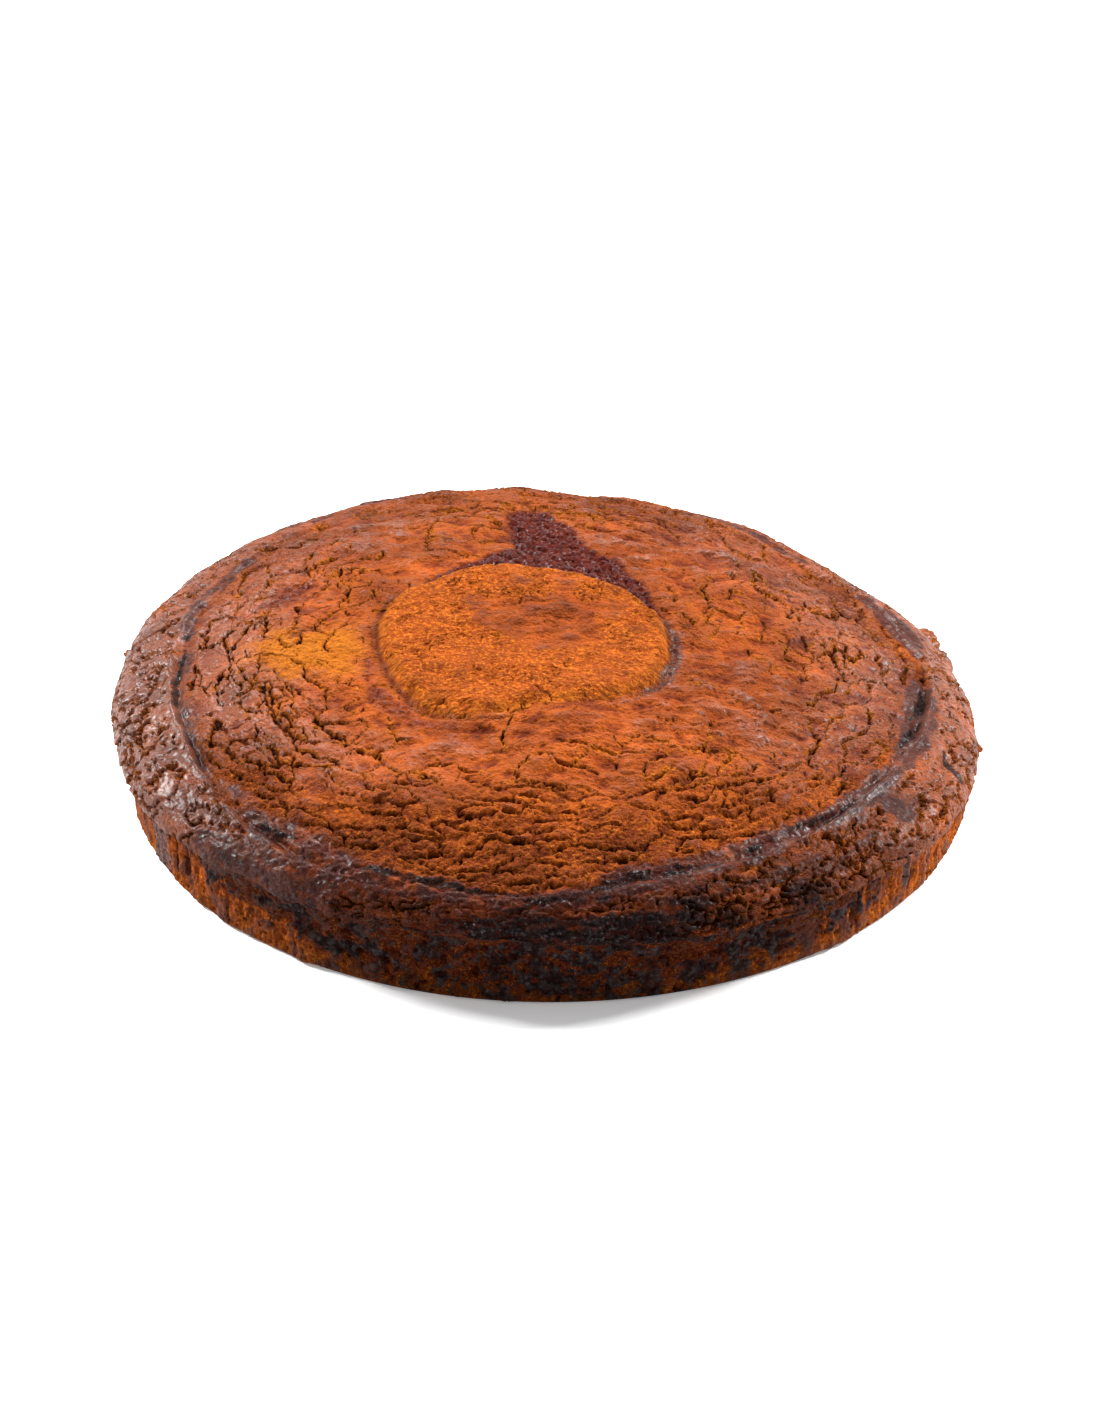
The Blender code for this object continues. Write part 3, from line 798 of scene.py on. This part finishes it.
def dress_crust(at):
    """Relief and finishes of the crust, with painted shade, painted sheen and painted light among the
    finishes.
    """
    on = Zones(at)
    into_crack, into_bare, lift = broken_skin(at, on)
    core = rise(into_crack, -0.25, 0.2)
    bare = rise(into_bare, -0.3, 0.2)
    texture = crust_texture(at, on, bare)
    holes, seams, creases, pits = crust_breaks(at, on)
    # Painted shade: a dark line along the disc's foot, where the furrow is shaded, left out in front
    foot = hump(at.off_disc - 1, 0.9) * (1 - at.toward(-70, 50))
    ribbon = most(at.toward(-42, 26), at.toward(8, 40)) * rise(at.radius, 80, 95)

    relief = disc_relief(at) + fold_relief(at) + mound_relief(at) + crumb_relief(at)
    relief += lift * (1 - core) + texture + 0.4 * fractal(at.points, 10, 50, 2) * on.disc
    relief -= 0.2 * bare * (1 - 0.6 * on.slope) + 1.1 * core
    relief -= 0.8 * holes + 0.5 * pits + 0.3 * seams + 0.35 * creases
    ropes = 0.16 * on.dimples + 0.4 * noise(at.ring_points(4), 3.4, 49)
    relief += ropes * on.dusk * (1 - 0.6 * ribbon) - 0.35 * on.syrup - 0.3 * on.burnt

    crumb = on.slope * (0.45 - 0.9 * texture) + on.disc * (0.8 + 0.4 * on.patchy - 0.7 * on.disc_patch)
    crumb += 0.9 * on.pale + on.rim * (0.3 - 0.9 * texture)
    crumb = clipped(most(0.5 + 1.2 * into_bare, crumb)) * (1 - on.wet)
    # Cracks, holes, pits, seams and creases, which the material darkens with painted shade
    cracked = [0.5 + 1.2 * into_crack, 0.8 * holes, 0.8 * pits, 0.7 * seams, 0.65 * creases]
    edges = rise(into_bare + 0.5 * on.fine, -1.6, 0) * on.crust * (1 - 0.6 * on.slope) * (1 - on.wet)
    # Painted light: the disc's rolled edge made paler all round
    roll_painted_light = hump(at.off_disc + 1.5, 2.5) * (0.6 + 0.8 * on.fine)
    pale = [on.pale, 0.45 * bare * (1 - 0.6 * on.rim) * (1 - 0.5 * on.slope), 0.15 * edges, 0.45 * roll_painted_light]
    browning, burnt = crust_browning(at, on, foot)
    outer = rise(at.radius, 60, 105)
    patched = 1 - outer * (0.3 - 0.4 * ribbon - 0.6 * fractal(at.points, 7, 56, 3, 0.6))
    return relief, {
        "crumb": crumb,
        "crack": clipped(most(*cracked)),
        "browning": browning,
        "burnt": burnt,
        "syrup": on.syrup,
        "dusk": on.dusk * clipped(patched),
        "pale": most(*pale),
        # Glaze amount: the real coat gloss, and how far the painted sheen colour is mixed in
        "glaze": crust_gloss_and_painted_sheen(on, clipped(texture), outer, ribbon, burnt),
        # Height of the fine relief, which the material uses for browning and for painted shade in low places;
        # the disc's foot line is made low
        "height": (texture + 0.3 * lift) * (1 - 0.4 * on.glaze) * (1 - 0.5 * on.disc) - 0.3 * foot,
    }


def charring(at, lumps):
    """How charred the side is, and its hollows, which are burnt the most."""
    turns, depths = np.array(CHAR_DEPTH).T
    depth = np.interp(np.degrees(at.angle), turns, depths)
    char = rise(at.z - wall_height(at.angle) + depth + 5 * lumps, -2, 2) * rise(depth, 0.5, 4)
    spots = [
        hump(at.along(toward), 0.6 * length) * hump(at.z - middle, 0.6 * height)
        for toward, middle, length, height, _ in SIDE_HOLLOWS[1:]
    ]
    return char, most(*spots)


def dress_side(at):
    """Relief and finishes of the side: porous crumb, drag lines from the tin, charred patches, with painted
    shade in pores and cracks and a painted sheen.
    """
    streak = noise(at.points * (1, 1, 0.2), 2, 61)
    lumps = fractal(at.points, 6, 62, 4, 0.6)
    crags = 1 - 2 * np.abs(fractal(at.points, 5, 66, 3, 0.6))
    scorch = fractal(at.points * (1, 1, 2.2), 9, 68, 4, 0.6)
    fine = fractal(at.points, 2.4, 65, 2, 0.8)
    front = at.toward(-92, 40)
    pores = rise(noise(at.points, 2.5, 63), 0.35, 0.7) * (0.4 + 0.6 * front)
    small_pores = rise(noise(at.points, 1.4, 64), 0.4, 0.75)
    crack = hump(at.along(SIDE_CRACK), 0.8) * rise(at.z, 2, 6)
    dragged = rise(noise(at.points * (1, 1, 0.15), 2.2, 67) + 0.3 * lumps, 0.4, 0.7) * (1 - 0.6 * front)
    relief = side_relief(at) + crumb_relief(at)
    relief += 0.2 * lumps + 0.25 * streak * (1.3 - front) + 0.45 * crags * (0.3 + 0.7 * front) + 0.25 * fine
    relief -= pores + 0.5 * small_pores + crack + 0.5 * dragged

    char, spots = charring(at, lumps)
    burnt = char * clipped(0.2 + 0.5 * spots + 2.2 * scorch)
    burnt = most(burnt, 0.75 * at.toward(-90, 40) * rise(0.6 * fine + lumps, -0.4, 0.5))
    strip_start, strip_end = [rise(at.along(toward), -1, 1) for toward in DARK_STRIP]
    strip = strip_start * (1 - strip_end)
    strip = most(strip, hump(at.along(DARK_STREAK), 2) * rise(at.z, 6, 9))
    browning = 0.24 + 0.75 * char + 0.75 * at.toward(-96, 46) + 0.15 * at.toward(90, 60)
    smooth = clipped((1 - front) * (0.6 + 0.6 * lumps))
    return relief, {
        "crumb": clipped(1 - strip - 0.7 * smooth - 1.5 * burnt),
        # Pores, cracks and drag lines, which the material darkens with painted shade
        "crack": clipped(most(pores, 0.8 * small_pores, crack, 0.75 * dragged)),
        "browning": clipped(browning + 0.4 * lumps + 0.35 * streak),
        "burnt": burnt,
        "syrup": np.zeros_like(at.z),
        "dusk": strip,
        "pale": 0.15 * (1 - rise(at.z + 2 * lumps, 2, 8)),
        # Glaze amount: the real coat gloss, and how far the painted sheen colour is mixed in
        "glaze": 0.3 * strip + 0.35 * burnt * rise(fine, 0, 0.6) + 0.4 * smooth * (1 - burnt),
        # Height of the fine relief, which the material uses for browning and for painted shade in low places
        "height": (0.2 + 0.15 * front) * fine + 0.15 * streak + 0.35 * (crags - 0.5) * front + 0.2 * lumps,
    }


def dressed_points(points, share, reach, faces):
    """The skin with its relief, and the finishes of each point, painted shade, sheen and light among them."""
    at = Place(points, reach)
    crust, crust_finish_and_painted_light = dress_crust(at)
    side, side_finish_and_painted_light = dress_side(at)
    for number, (length, on_crust, on_side) in enumerate(WAVES):
        uneven = waves(points, length, WAVE_SEED + number)
        crust += on_crust * uneven
        side += on_side * uneven
    footing = rise(at.z, 0, 2 * BASE_BEVEL)
    relief = footing * blend(share, side, crust)
    finish_and_painted_light = {name: blend(share, side_finish_and_painted_light[name], crust_finish_and_painted_light[name]) for name in FINISHES_AND_PAINTED_LIGHT}
    return points + point_normals(points, faces) * relief[:, None], finish_and_painted_light


# Finishes, with painted shade, sheen and light among them


def tint(red, green, blue):
    """A screen colour, from 0 to 255, as the light it stands for."""
    shares = [part / 255 for part in (red, green, blue)]
    light = [part / 12.92 if part <= 0.04045 else ((part + 0.055) / 1.055) ** 2.4 for part in shares]
    return (*light, 1)


class Amount:
    """A number that varies over a surface. Its arithmetic adds Math nodes."""

    def __init__(self, graph, socket):
        self.graph = graph
        self.socket = socket

    def math(self, operation, *terms):
        return self.graph.node("ShaderNodeMath", {"operation": operation}, dict(enumerate(terms)))

    def __add__(self, other):
        return self.math("ADD", self, other)

    def __sub__(self, other):
        return self.math("SUBTRACT", self, other)

    def __rsub__(self, other):
        return self.math("SUBTRACT", other, self)

    def __mul__(self, other):
        return self.math("MULTIPLY", self, other)

    __radd__ = __add__
    __rmul__ = __mul__

    def clamped(self):
        return self.graph.node("ShaderNodeClamp", {}, {"Value": self})


# A Mix node's colour sockets, whose names aren't unique
MIX_FIRST, MIX_SECOND, MIX_RESULT = 6, 7, 2


class Graph:
    """The nodes of a material or of the room."""

    def __init__(self, owner):
        owner.use_nodes = True
        self.tree = owner.node_tree

    def node(self, kind, settings, sockets, result=0):
        """Adds a node, settings first, then the values or links of its sockets. Gives one result."""
        node = self.tree.nodes.new(kind)
        for name, value in settings.items():
            setattr(node, name, value)
        self.feed(node.name, sockets)
        return Amount(self, node.outputs[result])

    def feed(self, node, sockets):
        """Links the sockets of a named node, or sets them to a constant."""
        inputs = self.tree.nodes[node].inputs
        for name, value in sockets.items():
            if isinstance(value, Amount):
                self.tree.links.new(value.socket, inputs[name])
            else:
                inputs[name].default_value = value

    def attribute(self, name):
        """A finish of each point of the mesh."""
        return self.node("ShaderNodeAttribute", {"attribute_name": name}, {}, "Fac")

    def speckle(self, place, size, detail=2, rough=0.5):
        """Noise from 0 to 1 with spots of this size in millimetres."""
        sockets = {"Vector": place, "Scale": 1 / (size * MM), "Detail": detail, "Roughness": rough}
        return self.node("ShaderNodeTexNoise", {}, sockets, "Fac")

    def step(self, value, low, high):
        """Zero at low, one at high, and a smooth step between."""
        sockets = {"Value": value, "From Min": low, "From Max": high}
        return self.node("ShaderNodeMapRange", {"interpolation_type": "SMOOTHSTEP"}, sockets)

    def mix(self, share, first, second):
        """First colour where share is zero, second where it is one."""
        sockets = {"Factor": share, MIX_FIRST: first, MIX_SECOND: second}
        return self.node("ShaderNodeMix", {"data_type": "RGBA"}, sockets, MIX_RESULT)

    def flecked(self, colour, flecks):
        """A colour with flecks: what each goes by, where it starts, where it is full, how much, colour."""
        for value, none, fully, share, fleck in flecks:
            colour = self.mix(self.step(value, none, fully) * share, colour, fleck)
        return colour

    def bump(self, height, distance):
        """Fine relief, in millimetres, as a normal."""
        sockets = {"Height": height, "Distance": distance * MM}
        return self.node("ShaderNodeBump", {}, sockets, "Normal")


SKIN_ORANGE = tint(150, 69, 12)
SKIN_BROWN = tint(60, 23, 12)
# Red of the skin: in random patches, and also as painted shade in low places
SKIN_RED_AND_HOLLOW_SHADE = tint(126, 50, 8)
CRUMB_ORANGE = tint(146, 67, 11)
# Brown of well baked crumb, also used as the painted shade in cracks
CRUMB_BROWN_AND_CRACK_SHADE = tint(60, 19, 3)
CRUMB_LIGHT = tint(194, 108, 26)
CRUMB_DARK = tint(112, 39, 4)
PALE_ORANGE = tint(156, 88, 13)
# Painted sheen: the pale mauve of white light reflected on the glaze
PAINTED_SHEEN = tint(142, 84, 62)
SYRUP_RED = tint(72, 12, 4)
DUSK_PURPLE = tint(58, 27, 23)
BURNT = tint(12, 8, 9)
# Painted shade: red-brown for low places of the relief, near black for the cores of cracks, holes and pores
PAINTED_HOLLOW_SHADE = tint(70, 20, 4)
PAINTED_CRACK_SHADE = tint(44, 11, 2)

# Finishes of each point; crack, height, glaze and pale also carry painted shade, sheen and light
FINISHES_AND_PAINTED_LIGHT = ("crumb", "crack", "browning", "burnt", "syrup", "dusk", "pale", "glaze", "height")


def baked_dough():
    """Skin, crumb, filling and burnt places, by the finishes of each point, with painted shade in cracks and
    low places, painted sheen and painted light.
    """
    material = bpy.data.materials.new("baked_dough")
    graph = Graph(material)
    mix, step, speckle, flecked = graph.mix, graph.step, graph.speckle, graph.flecked
    crumb, crack, browning, burnt, syrup, dusk, pale, glaze, height = map(graph.attribute, FINISHES_AND_PAINTED_LIGHT)
    place = graph.node("ShaderNodeTexCoord", {}, {}, "Object")
    grain = speckle(place, 1, 3, 0.7)
    pores = speckle(place, 1.6, 2, 0.7)
    mottle = speckle(place, 3.2, 3, 0.6)
    cloud = speckle(place, 14, 2)

    baked = (browning + (mottle - 0.5) * 0.25 + height * 0.2).clamped()
    skin = flecked(mix(baked, SKIN_ORANGE, SKIN_BROWN), (
        (cloud, 0.45, 0.75, 0.4, SKIN_RED_AND_HOLLOW_SHADE),
        # Painted shade: low places of the relief redder and darker
        (height, 0, -0.4, 0.6, SKIN_RED_AND_HOLLOW_SHADE),
        (grain, 0.48, 0.38, 0.3, CRUMB_DARK),
        (grain, 0.54, 0.62, 0.2, CRUMB_ORANGE),
        (pores, 0.38, 0.28, 0.4, SKIN_BROWN),
    ))
    # Painted sheen mixed into the skin by the glaze amount, which also sets the real coat gloss below
    skin = mix(glaze * (0.2 + mottle * 0.6), skin, PAINTED_SHEEN)
    dough = flecked(mix(baked, CRUMB_ORANGE, CRUMB_BROWN_AND_CRACK_SHADE), (
        (grain, 0.52, 0.61, 0.6 - baked * 0.3, CRUMB_LIGHT),
        (grain, 0.49, 0.39, 0.6, CRUMB_DARK),
        (pores, 0.38, 0.28, 0.5, CRUMB_BROWN_AND_CRACK_SHADE),
    ))

    ragged = step(crumb + (grain - 0.5) * 0.8, 0.38, 0.62)
    colour = mix(ragged, skin, dough)
    # Pale crumb, and the painted light on the disc's rolled edge
    colour = mix(pale * (0.3 + grain), colour, PALE_ORANGE)
    colour = mix(syrup * (0.65 + mottle * 0.6), colour, SYRUP_RED)
    dusk_here = step(dusk + (mottle - 0.5) * 0.8 + (grain - 0.5) * 0.5, 0.25, 0.75)
    colour = mix(dusk_here * 0.8, colour, DUSK_PURPLE)
    burnt_here = step(burnt + (mottle - 0.5) * 0.9 + (grain - 0.5) * 0.7, 0.3, 0.7)
    colour = mix(burnt_here * 0.85, colour, BURNT)
    # Painted shade in cracks, holes, pits, seams, creases and pores: brown, darkest in the cores, and
    # red-brown in low places of the relief
    into_crack = crack + (grain - 0.5) * 0.5
    ragged_crack = step(into_crack, 0.4, 0.6)
    colour = mix(ragged_crack * 0.75, colour, CRUMB_BROWN_AND_CRACK_SHADE)
    painted_shade = ((into_crack, 0.6, 0.9, 0.9, PAINTED_CRACK_SHADE), (height, -0.05, -0.55, 0.7, PAINTED_HOLLOW_SHADE))
    colour = flecked(colour, painted_shade)

    wet_beads = step(grain, 0.55, 0.62) * (syrup + dusk_here * 0.6 + burnt_here * 0.6) * 0.5
    gloss = (glaze * (1 - ragged * 0.8) * (0.2 + mottle * 0.8) + wet_beads) * (1 - ragged_crack)
    fine_relief = graph.bump((grain + pores) * (0.3 + baked * 0.9), 3)
    graph.feed("Principled BSDF", {
        "Base Color": colour,
        "Roughness": 0.8,
        "Specular IOR Level": 0.05,
        "Coat Weight": gloss.clamped(),
        "Coat Roughness": 0.38,
        "Normal": fine_relief,
    })
    return material


# Pieces


# Rows of the wound flat maps, and the share of a row that stays free
WOUND_ROWS = {"rim": 5, "side": 6}
ROW_END = 0.02
ROW_EDGE = 0.03


def flat_map(name, faces, points, reach):
    """The flat map of a piece, from 0 to 1: seen from above, or wound round in rows."""
    if name not in WOUND_ROWS:
        plan = points[faces][:, :, :2]
        low = plan.min(axis=(0, 1))
        return (plan - low) / (plan.max(axis=(0, 1)) - low).max()
    rows = WOUND_ROWS[name]
    angle = np.arctan2(points[:, 1], points[:, 0])[faces]
    angle = angle[:, :1] + (angle - angle[:, :1] + math.pi) % TAU - math.pi
    middle = angle.mean(axis=1, keepdims=True)
    turn = rows * (middle / TAU % 1)
    row = np.floor(turn)
    along = ROW_END + (1 - 2 * ROW_END) * (turn - row + rows * (angle - middle) / TAU)
    down = reach[faces]
    down = (down - down.min()) / (down.max() - down.min())
    return np.stack([along, (row + ROW_EDGE + (1 - 2 * ROW_EDGE) * down) / rows], axis=-1)


def new_thing(name, data):
    """A new object in the scene."""
    thing = bpy.data.objects.new(name, data)
    bpy.context.scene.collection.objects.link(thing)
    return thing


def make_piece(name, faces, points, normals, finish_and_painted_light, flat, material):
    """One piece of the skin, in metres, with its finishes, painted light among them, and the whole skin's
    normals.
    """
    used, index = np.unique(faces, return_inverse=True)
    corners = index.reshape(-1, 3)
    mesh = bpy.data.meshes.new(name)
    mesh.vertices.add(len(used))
    mesh.vertices.foreach_set("co", (points[used] * MM).astype(np.float32).ravel())
    mesh.loops.add(corners.size)
    mesh.loops.foreach_set("vertex_index", corners.astype(np.int32).ravel())
    mesh.polygons.add(len(corners))
    mesh.polygons.foreach_set("loop_start", np.arange(0, corners.size, 3, dtype=np.int32))
    mesh.update(calc_edges=True)
    mesh.uv_layers.new(name="OFBake").data.foreach_set("uv", flat.astype(np.float32).ravel())
    mesh.validate()
    for key, values in finish_and_painted_light.items():
        layer = mesh.attributes.new(key, "FLOAT", "POINT")
        layer.data.foreach_set("value", values[used].astype(np.float32))
    mesh.shade_smooth()
    mesh.normals_split_custom_set_from_vertices(normals[used].astype(np.float32))
    mesh.materials.append(material)
    piece = new_thing(name, mesh)
    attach(piece, BODY)
    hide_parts(NODE)


def make_skin():
    """All pieces of the skin, which share their edges."""
    smooth, share, reach, pieces = whole_skin()
    faces = np.vstack(list(pieces.values()))
    points, finish_and_painted_light = dressed_points(smooth, share, reach, faces)
    points[:, :2] -= (points[:, :2].min(axis=0) + points[:, :2].max(axis=0)) / 2
    normals = point_normals(points, faces)
    material = baked_dough()
    for name, piece_faces in pieces.items():
        flat = flat_map(name, piece_faces, smooth, reach)
        make_piece(name, piece_faces, points, normals, finish_and_painted_light, flat, material)


# Floor, lights and camera


CAMERA_ELEVATION = math.radians(30)
CAMERA_DISTANCE = 1.4
CAMERA_TARGET = (0.0009, 0.0006, 0.02106)
CAMERA_LENS = 126.8
CAMERA_SENSOR = 36
FLOOR_SIZE = 6
FLOOR_GLOW = 0.18
SOFT_BOXES = (
    ("left_box", (-1, 0.35, 0.75), (0.3, 0.3), 33),
    ("right_box", (1, 0.35, 0.75), (0.3, 0.3), 33),
    ("back_box", (0, 1, 0.95), (0.5, 0.25), 20),
)
WALL_LIGHT = 1.5
ROOM_LIGHT = 0.4


def grey(light):
    """A colour without a hue."""
    return (light, light, light, 1)


def make_floor():
    """A plain pale floor, lit a little from below."""
    mesh = bpy.data.meshes.new("floor")
    half = FLOOR_SIZE / 2
    corners = [(-half, -half, 0), (half, -half, 0), (half, half, 0), (-half, half, 0)]
    mesh.from_pydata(corners, [], [(0, 1, 2, 3)])
    material = bpy.data.materials.new("pale_floor")
    glow = {"Emission Color": grey(1), "Emission Strength": FLOOR_GLOW}
    Graph(material).feed("Principled BSDF", {"Base Color": grey(0.92), "Roughness": 0.7, **glow})
    mesh.materials.append(material)
    new_thing("floor", mesh)


def aim(thing, place, target):
    """Puts a light or a camera at a place, looking at a target."""
    thing.location = place
    away = thing.location.__class__(target) - thing.location
    thing.rotation_euler = away.to_track_quat("-Z", "Y").to_euler()


def make_soft_box(name, place, size, power):
    """A soft box that points at the cake."""
    light = bpy.data.lights.new(name, "AREA")
    light.shape = "RECTANGLE"
    light.size, light.size_y = size
    light.energy = power
    aim(new_thing(name, light), place, (0, 0, 0))


def make_room():
    """A dim room, white low down behind the cake and beside it."""
    world = bpy.data.worlds.new("room")
    graph = Graph(world)
    directions = graph.node("ShaderNodeTexCoord", {}, {}, "Generated")
    aside, back, up = [graph.node("ShaderNodeSeparateXYZ", {}, {0: directions}, axis) for axis in "XYZ"]
    low = 1 - graph.step(up - aside.math("ABSOLUTE", aside) * 0.3, 0.1, 0.3)
    wall = low * (graph.step(back, -0.7, 0.1) * 0.7 + 0.3)
    graph.feed("Background", {"Color": graph.mix(wall, grey(ROOM_LIGHT), grey(WALL_LIGHT))})
    bpy.context.scene.world = world
    bpy.context.scene.view_settings.view_transform = "Standard"


def make_camera():
    """The camera, above and in front of the cake."""
    data = bpy.data.cameras.new("camera")
    data.sensor_fit = "VERTICAL"
    data.sensor_height = CAMERA_SENSOR
    data.lens = CAMERA_LENS
    camera = new_thing("camera", data)
    x, y, z = CAMERA_TARGET
    back = CAMERA_DISTANCE * math.cos(CAMERA_ELEVATION)
    up = CAMERA_DISTANCE * math.sin(CAMERA_ELEVATION)
    aim(camera, (x, y - back, z + up), CAMERA_TARGET)
    bpy.context.scene.camera = camera


make_camera()
for box in SOFT_BOXES:
    make_soft_box(*box)
make_room()
make_floor()
make_skin()
